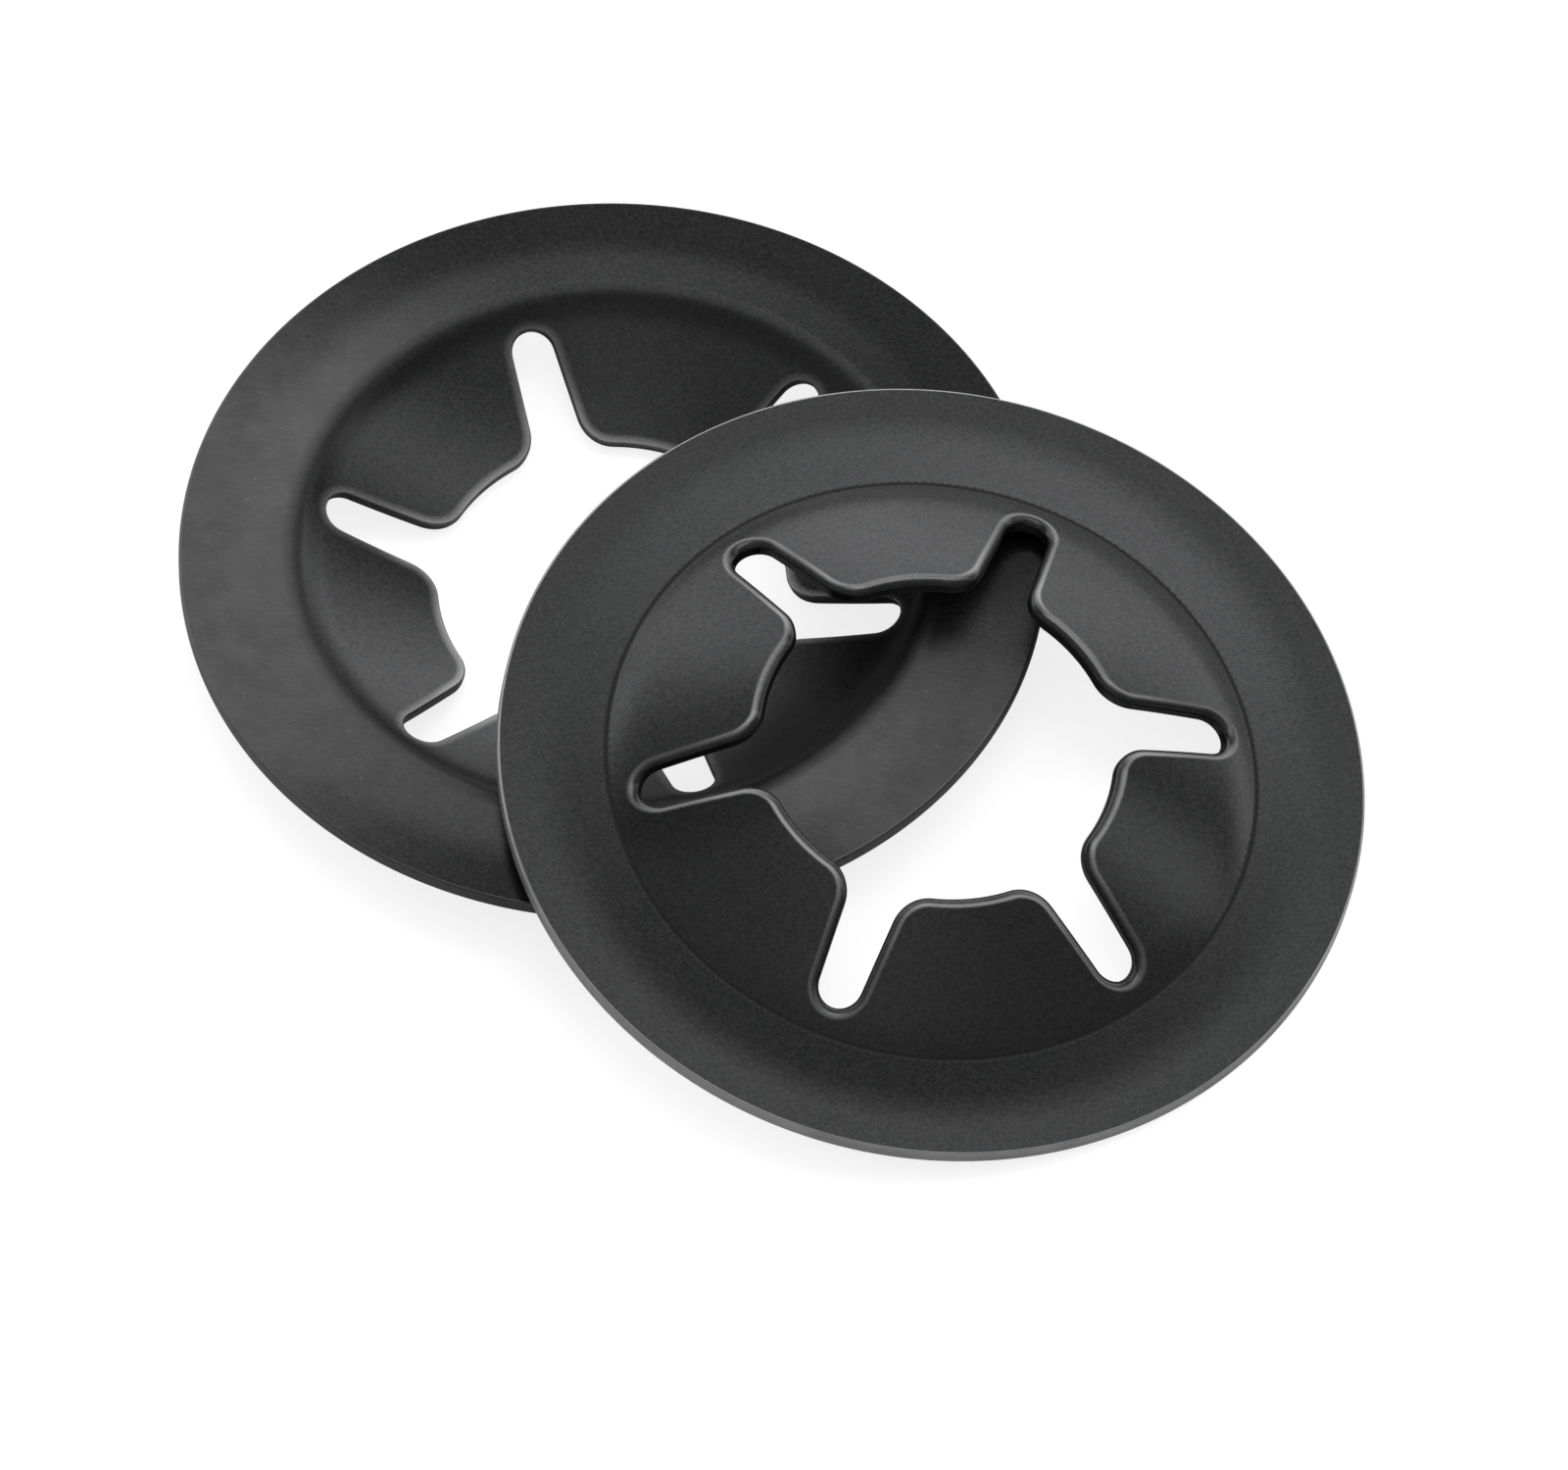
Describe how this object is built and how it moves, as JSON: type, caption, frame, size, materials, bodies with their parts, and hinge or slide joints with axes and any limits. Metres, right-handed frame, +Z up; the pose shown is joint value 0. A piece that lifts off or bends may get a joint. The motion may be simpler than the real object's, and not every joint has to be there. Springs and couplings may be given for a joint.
{
  "type": "push-on star washers",
  "caption": "Two loose star push-on retaining washers of dished spring steel, one leaning on the other, each with sprung fingers round a shaft bore.",
  "frame": {"origin": "on the surface the pair lies on, under the middle of the pair's box", "axes": "+Z up from the surface, +X from the lower washer's centre to the leaning upper washer's centre, +Y across"},
  "size_m": [0.0279, 0.019, 0.0036],
  "materials": {
    "black_spring_steel": "satin black oxide with worn edges"
  },
  "bodies": {
    "lower_washer_rim": {"lower_washer_rim": "black_spring_steel"},
    "lower_washer_finger_1": {"lower_washer_finger_1": "black_spring_steel"},
    "lower_washer_finger_2": {"lower_washer_finger_2": "black_spring_steel"},
    "lower_washer_finger_3": {"lower_washer_finger_3": "black_spring_steel"},
    "lower_washer_finger_4": {"lower_washer_finger_4": "black_spring_steel"},
    "lower_washer_finger_5": {"lower_washer_finger_5": "black_spring_steel"},
    "lower_washer_finger_6": {"lower_washer_finger_6": "black_spring_steel"},
    "upper_washer_rim": {"upper_washer_rim": "black_spring_steel"},
    "upper_washer_finger_1": {"upper_washer_finger_1": "black_spring_steel"},
    "upper_washer_finger_2": {"upper_washer_finger_2": "black_spring_steel"},
    "upper_washer_finger_3": {"upper_washer_finger_3": "black_spring_steel"},
    "upper_washer_finger_4": {"upper_washer_finger_4": "black_spring_steel"},
    "upper_washer_finger_5": {"upper_washer_finger_5": "black_spring_steel"},
    "upper_washer_finger_6": {"upper_washer_finger_6": "black_spring_steel"}
  },
  "joints": [
    {"name": "upper_washer_lift", "type": "slide", "parent": "lower_washer_rim", "child": "upper_washer_rim", "axis": [0, 0, 1], "range_m": [0, 0.012]},
    {"name": "lower_washer_finger_1_flex", "type": "hinge", "parent": "lower_washer_rim", "child": "lower_washer_finger_1", "pos_m": [0.00084, -0.0003, 0.00069], "axis": [-0.0558, -0.9984, 0], "range_deg": [0, 8], "stiffness_Nm_per_rad": 6},
    {"name": "lower_washer_finger_2_flex", "type": "hinge", "parent": "lower_washer_rim", "child": "lower_washer_finger_2", "pos_m": [-0.00206, -0.00473, 0.00069], "axis": [-0.8926, -0.4509, 0], "range_deg": [0, 8], "stiffness_Nm_per_rad": 6},
    {"name": "lower_washer_finger_3_flex", "type": "hinge", "parent": "lower_washer_rim", "child": "lower_washer_finger_3", "pos_m": [-0.00735, -0.00443, 0.00069], "axis": [-0.8368, 0.5476, 0], "range_deg": [0, 8], "stiffness_Nm_per_rad": 6},
    {"name": "lower_washer_finger_4_flex", "type": "hinge", "parent": "lower_washer_rim", "child": "lower_washer_finger_4", "pos_m": [-0.00974, 0.0003, 0.00069], "axis": [0.0558, 0.9984, 0], "range_deg": [0, 8], "stiffness_Nm_per_rad": 6},
    {"name": "lower_washer_finger_5_flex", "type": "hinge", "parent": "lower_washer_rim", "child": "lower_washer_finger_5", "pos_m": [-0.00684, 0.00473, 0.00069], "axis": [0.8926, 0.4509, 0], "range_deg": [0, 8], "stiffness_Nm_per_rad": 6},
    {"name": "lower_washer_finger_6_flex", "type": "hinge", "parent": "lower_washer_rim", "child": "lower_washer_finger_6", "pos_m": [-0.00155, 0.00443, 0.00069], "axis": [0.8368, -0.5476, 0], "range_deg": [0, 8], "stiffness_Nm_per_rad": 6},
    {"name": "upper_washer_finger_1_flex", "type": "hinge", "parent": "upper_washer_rim", "child": "upper_washer_finger_1", "pos_m": [0.00557, 0.00522, 0.00218], "axis": [-0.974, 0.1736, 0.1457], "range_deg": [0, 8], "stiffness_Nm_per_rad": 6},
    {"name": "upper_washer_finger_2_flex", "type": "hinge", "parent": "upper_washer_rim", "child": "upper_washer_finger_2", "pos_m": [0.00065, 0.00341, 0.00292], "axis": [-0.6357, -0.766, 0.0951], "range_deg": [0, 8], "stiffness_Nm_per_rad": 6},
    {"name": "upper_washer_finger_3_flex", "type": "hinge", "parent": "upper_washer_rim", "child": "upper_washer_finger_3", "pos_m": [-0.00026, -0.00181, 0.00306], "axis": [0.3383, -0.9397, -0.0506], "range_deg": [0, 8], "stiffness_Nm_per_rad": 6},
    {"name": "upper_washer_finger_4_flex", "type": "hinge", "parent": "upper_washer_rim", "child": "upper_washer_finger_4", "pos_m": [0.00375, -0.00522, 0.00246], "axis": [0.974, -0.1736, -0.1457], "range_deg": [0, 8], "stiffness_Nm_per_rad": 6},
    {"name": "upper_washer_finger_5_flex", "type": "hinge", "parent": "upper_washer_rim", "child": "upper_washer_finger_5", "pos_m": [0.00868, -0.00341, 0.00172], "axis": [0.6357, 0.766, -0.0951], "range_deg": [0, 8], "stiffness_Nm_per_rad": 6},
    {"name": "upper_washer_finger_6_flex", "type": "hinge", "parent": "upper_washer_rim", "child": "upper_washer_finger_6", "pos_m": [0.00959, 0.00181, 0.00158], "axis": [-0.3383, 0.9397, 0.0506], "range_deg": [0, 8], "stiffness_Nm_per_rad": 6}
  ]
}
